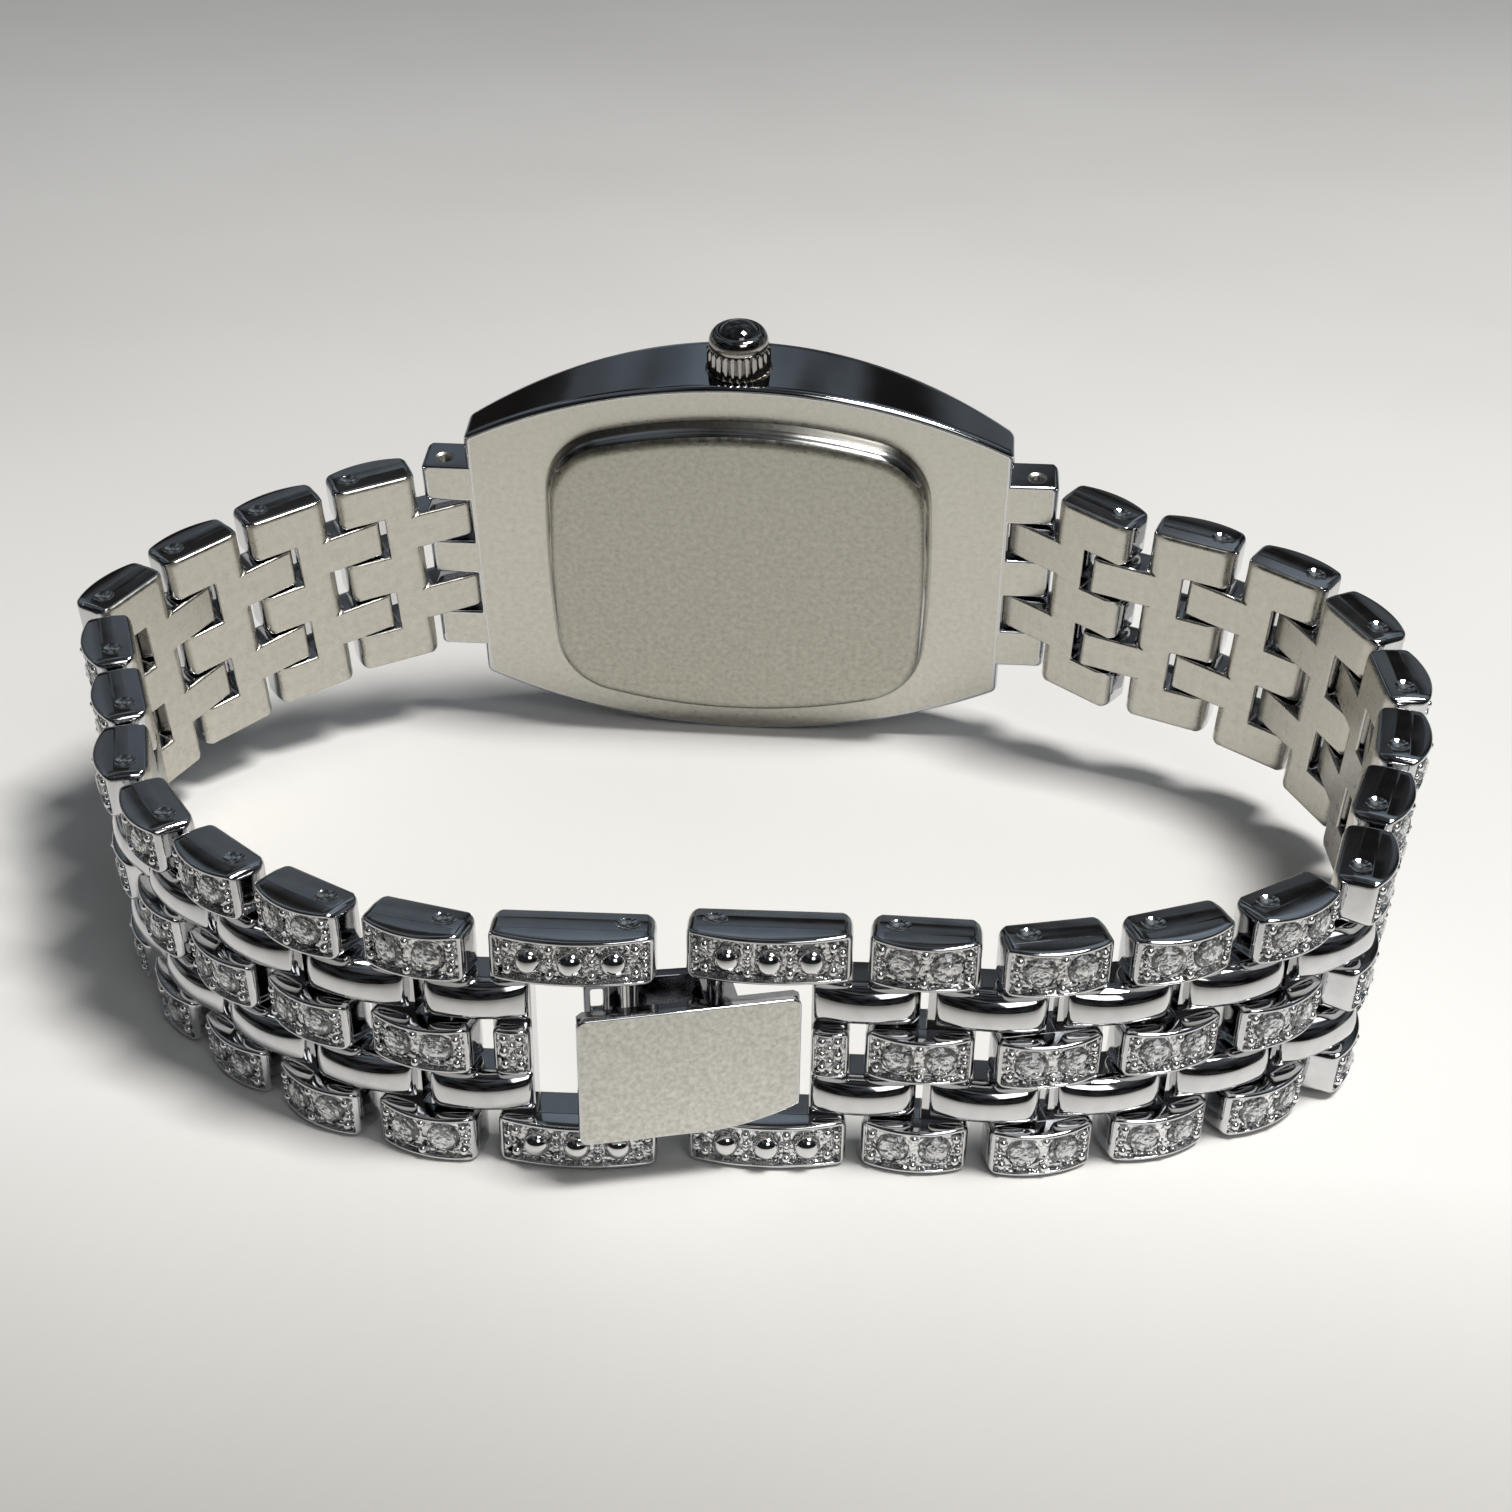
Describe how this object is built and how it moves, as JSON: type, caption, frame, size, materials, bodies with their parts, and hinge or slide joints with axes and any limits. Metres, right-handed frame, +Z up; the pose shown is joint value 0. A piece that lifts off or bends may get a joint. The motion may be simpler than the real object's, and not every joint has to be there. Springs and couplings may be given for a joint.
{
  "type": "bracelet watch",
  "caption": "Small barrel-cased bracelet watch standing on its side edge, its jointed stone-set link bracelet closed by a folding clasp.",
  "frame": {"origin": "middle of the bounding box at the surface that the watch stands on", "axes": "+Z up, along the crown; +X towards the right half of the bracelet seen from the clasp; +Y from the clasp towards the case"},
  "size_m": [0.074, 0.055, 0.0274],
  "materials": {
    "polished_steel": "polished stainless steel",
    "satin_steel": "worn satin stainless steel",
    "pin_steel": "drawn steel",
    "clear_stone": "clear faceted stone",
    "black_stone": "polished black stone",
    "crystal": "clear mineral glass",
    "rubber": "black rubber",
    "nylon": "moulded nylon",
    "dial_white": "fine lacquer",
    "dial_ring_steel": "fine satin steel",
    "applied_steel": "polished steel",
    "movement_brass": "plated brass",
    "movement_plastic": "moulded plastic and circuit board",
    "battery_steel": "pressed nickel-plated steel"
  },
  "bodies": {
    "case": {"case_middle": "polished_steel", "case_back": "satin_steel", "back_gasket": "rubber", "front_crystal": "crystal", "crystal_gasket": "nylon", "dial_ring": "dial_ring_steel", "dial": "dial_white", "hour_markers": "applied_steel", "movement_holder": "nylon", "movement_plate": "movement_brass", "movement_circuit": "movement_plastic", "battery": "battery_steel", "battery_clamp": "pin_steel", "crown_tube": "pin_steel", "lug_pin_right": "pin_steel", "lug_pin_left": "pin_steel"},
    "minute_hand_body": {"minute_hand": "applied_steel", "centre_arbor": "pin_steel"},
    "hour_hand_body": {"hour_hand": "applied_steel", "hour_tube": "pin_steel"},
    "crown_seal": {"crown_gasket": "rubber"},
    "crown_body": {"crown": "polished_steel", "crown_cabochon": "black_stone", "winding_stem": "pin_steel"},
    "bracelet_right_01": {"link_right_01": "polished_steel"},
    "bracelet_right_02": {"link_right_02": "polished_steel"},
    "bracelet_right_03": {"link_right_03": "polished_steel"},
    "bracelet_right_04": {"link_right_04": "polished_steel"},
    "bracelet_right_05": {"link_right_05": "polished_steel"},
    "bracelet_right_06": {"link_right_06": "polished_steel"},
    "bracelet_right_07": {"link_right_07": "polished_steel"},
    "bracelet_right_08": {"link_right_08": "polished_steel"},
    "bracelet_right_09": {"link_right_09": "polished_steel"},
    "bracelet_right_10": {"link_right_10": "polished_steel"},
    "bracelet_right_11": {"link_right_11": "polished_steel"},
    "bracelet_right_12": {"link_right_12": "polished_steel"},
    "clasp_right": {"clasp_frame_right": "polished_steel", "clasp_pin_right": "pin_steel"},
    "clasp_blade_body": {"clasp_blade": "polished_steel"},
    "clasp_cover_body": {"clasp_cover": "satin_steel"},
    "clasp_left": {"clasp_frame_left": "polished_steel", "clasp_pin_left": "pin_steel"},
    "bracelet_left_11": {"link_left_11": "polished_steel"},
    "bracelet_left_10": {"link_left_10": "polished_steel"},
    "bracelet_left_09": {"link_left_09": "polished_steel"},
    "bracelet_left_08": {"link_left_08": "polished_steel"},
    "bracelet_left_07": {"link_left_07": "polished_steel"},
    "bracelet_left_06": {"link_left_06": "polished_steel"},
    "bracelet_left_05": {"link_left_05": "polished_steel"},
    "bracelet_left_04": {"link_left_04": "polished_steel"},
    "bracelet_left_03": {"link_left_03": "polished_steel"},
    "bracelet_left_02": {"link_left_02": "polished_steel"},
    "bracelet_left_01": {"link_left_01": "polished_steel"}
  },
  "joints": [
    {"name": "minute_hand_turn", "type": "hinge", "parent": "case", "child": "minute_hand_body", "pos_m": [-0.00131, 0.01943, 0.01205], "axis": [0, -0.9773, -0.212], "continuous": true},
    {"name": "hour_hand_turn", "type": "hinge", "parent": "case", "child": "hour_hand_body", "pos_m": [-0.00131, 0.01943, 0.01205], "axis": [0, -0.9773, -0.212], "continuous": true},
    {"name": "crown_pull", "type": "slide", "parent": "case", "child": "crown_seal", "axis": [-0.0073, -0.212, 0.9772], "range_m": [0, 0.0007]},
    {"name": "crown_turn", "type": "hinge", "parent": "crown_seal", "child": "crown_body", "pos_m": [-0.00131, 0.02178, 0.01255], "axis": [-0.0073, -0.212, 0.9772], "continuous": true},
    {"name": "bracelet_right_01_hinge", "type": "hinge", "parent": "case", "child": "bracelet_right_01", "pos_m": [0.01634, 0.02042, 0.01239], "axis": [-0.0073, -0.212, 0.9772], "range_deg": [0, 44.1]},
    {"name": "bracelet_right_02_hinge", "type": "hinge", "parent": "bracelet_right_01", "child": "bracelet_right_02", "pos_m": [0.02106, 0.01706, 0.01166], "axis": [0.0078, -0.2027, 0.9792], "range_deg": [0, 4]},
    {"name": "bracelet_right_03_hinge", "type": "hinge", "parent": "bracelet_right_02", "child": "bracelet_right_03", "pos_m": [0.02657, 0.01519, 0.01116], "axis": [0.0234, -0.1932, 0.9809], "range_deg": [0, 20.6]},
    {"name": "bracelet_right_04_hinge", "type": "hinge", "parent": "bracelet_right_03", "child": "bracelet_right_04", "pos_m": [0.03152, 0.01218, 0.01043], "axis": [0.0357, -0.1798, 0.983], "range_deg": [0, 36.2]},
    {"name": "bracelet_right_05_hinge", "type": "hinge", "parent": "bracelet_right_04", "child": "bracelet_right_05", "pos_m": [0.03443, 0.0072, 0.00951], "axis": [0.0347, -0.1616, 0.9863], "range_deg": [0, 30.4]},
    {"name": "bracelet_right_06_hinge", "type": "hinge", "parent": "bracelet_right_05", "child": "bracelet_right_06", "pos_m": [0.03519, 0.00148, 0.00866], "axis": [0.0318, -0.1432, 0.9892], "range_deg": [0, 25.4]},
    {"name": "bracelet_right_07_hinge", "type": "hinge", "parent": "bracelet_right_06", "child": "bracelet_right_07", "pos_m": [0.03418, -0.00423, 0.00797], "axis": [0.029, -0.1246, 0.9918], "range_deg": [0, 15.6]},
    {"name": "bracelet_right_08_hinge", "type": "hinge", "parent": "bracelet_right_07", "child": "bracelet_right_08", "pos_m": [0.03243, -0.00978, 0.00742], "axis": [0.0263, -0.1061, 0.994], "range_deg": [0, 4]},
    {"name": "bracelet_right_09_hinge", "type": "hinge", "parent": "bracelet_right_08", "child": "bracelet_right_09", "pos_m": [0.03103, -0.01543, 0.00695], "axis": [0.0204, -0.0888, 0.9958], "range_deg": [0, 46.2]},
    {"name": "bracelet_right_10_hinge", "type": "hinge", "parent": "bracelet_right_09", "child": "bracelet_right_10", "pos_m": [0.02642, -0.01901, 0.00675], "axis": [0.0135, -0.0721, 0.9973], "range_deg": [0, 21.2]},
    {"name": "bracelet_right_11_hinge", "type": "hinge", "parent": "bracelet_right_10", "child": "bracelet_right_11", "pos_m": [0.02111, -0.02145, 0.00665], "axis": [0.0057, -0.0559, 0.9984], "range_deg": [0, 16.9]},
    {"name": "bracelet_right_12_hinge", "type": "hinge", "parent": "bracelet_right_11", "child": "bracelet_right_12", "pos_m": [0.01549, -0.02304, 0.00658], "axis": [0.0001, -0.0388, 0.9992], "range_deg": [0, 24.1]},
    {"name": "clasp_right_hinge", "type": "hinge", "parent": "bracelet_right_12", "child": "clasp_right", "pos_m": [0.00965, -0.023, 0.00658], "axis": [-0.0008, -0.0208, 0.9998], "range_deg": [0, 4]},
    {"name": "clasp_blade_hinge", "type": "hinge", "parent": "clasp_right", "child": "clasp_blade_body", "pos_m": [0.00132, -0.02327, 0.00653], "axis": [-0.0061, -0.0039, 1], "range_deg": [0, 35]},
    {"name": "clasp_cover_hinge", "type": "hinge", "parent": "clasp_blade_body", "child": "clasp_cover_body", "pos_m": [0.00132, -0.02327, 0.00653], "axis": [-0.0061, -0.0039, 1], "range_deg": [0, 80]},
    {"name": "clasp_left_hinge", "type": "hinge", "parent": "clasp_blade_body", "child": "clasp_left", "pos_m": [-0.0026, -0.02416, 0.00659], "axis": [-0.0007, -0.0177, 0.9998], "range_deg": [0, 35]},
    {"name": "bracelet_left_11_hinge", "type": "hinge", "parent": "clasp_left", "child": "bracelet_left_11", "pos_m": [-0.01093, -0.02447, 0.00658], "axis": [-0.0032, -0.0351, 0.9994], "range_deg": [0, 24.6]},
    {"name": "bracelet_left_10_hinge", "type": "hinge", "parent": "bracelet_left_11", "child": "bracelet_left_10", "pos_m": [-0.01659, -0.02302, 0.00661], "axis": [-0.0154, -0.0482, 0.9987], "range_deg": [0, 24.4]},
    {"name": "bracelet_left_09_hinge", "type": "hinge", "parent": "bracelet_left_10", "child": "bracelet_left_09", "pos_m": [-0.0216, -0.02003, 0.00668], "axis": [-0.0262, -0.0626, 0.9977], "range_deg": [0, 18.6]},
    {"name": "bracelet_left_08_hinge", "type": "hinge", "parent": "bracelet_left_09", "child": "bracelet_left_08", "pos_m": [-0.02598, -0.01617, 0.00681], "axis": [-0.0305, -0.0804, 0.9963], "range_deg": [0, 21.6]},
    {"name": "bracelet_left_07_hinge", "type": "hinge", "parent": "bracelet_left_08", "child": "bracelet_left_07", "pos_m": [-0.02933, -0.01139, 0.00709], "axis": [-0.0313, -0.099, 0.9946], "range_deg": [0, 26.6]},
    {"name": "bracelet_left_06_hinge", "type": "hinge", "parent": "bracelet_left_07", "child": "bracelet_left_06", "pos_m": [-0.03098, -0.00581, 0.00759], "axis": [-0.0315, -0.118, 0.9925], "range_deg": [0, 4]},
    {"name": "bracelet_left_05_hinge", "type": "hinge", "parent": "bracelet_left_06", "child": "bracelet_left_05", "pos_m": [-0.03318, -0.00043, 0.00817], "axis": [-0.0315, -0.1371, 0.9901], "range_deg": [0, 9.2]},
    {"name": "bracelet_left_04_hinge", "type": "hinge", "parent": "bracelet_left_05", "child": "bracelet_left_04", "pos_m": [-0.03527, 0.00498, 0.00885], "axis": [-0.0318, -0.1558, 0.9873], "range_deg": [0, 55.5]},
    {"name": "bracelet_left_03_hinge", "type": "hinge", "parent": "bracelet_left_04", "child": "bracelet_left_03", "pos_m": [-0.03266, 0.01013, 0.00974], "axis": [-0.0313, -0.1743, 0.9842], "range_deg": [0, 23.5]},
    {"name": "bracelet_left_02_hinge", "type": "hinge", "parent": "bracelet_left_03", "child": "bracelet_left_02", "pos_m": [-0.02877, 0.01439, 0.01062], "axis": [-0.0323, -0.1921, 0.9808], "range_deg": [0, 19]},
    {"name": "bracelet_left_01_hinge", "type": "hinge", "parent": "bracelet_left_02", "child": "bracelet_left_01", "pos_m": [-0.02411, 0.01782, 0.01145], "axis": [-0.0241, -0.2075, 0.9779], "range_deg": [0, 17.2]}
  ],
  "couplings": [
    {"joint": "hour_hand_turn", "follows": "minute_hand_turn", "ratio": 0.083333}
  ]
}
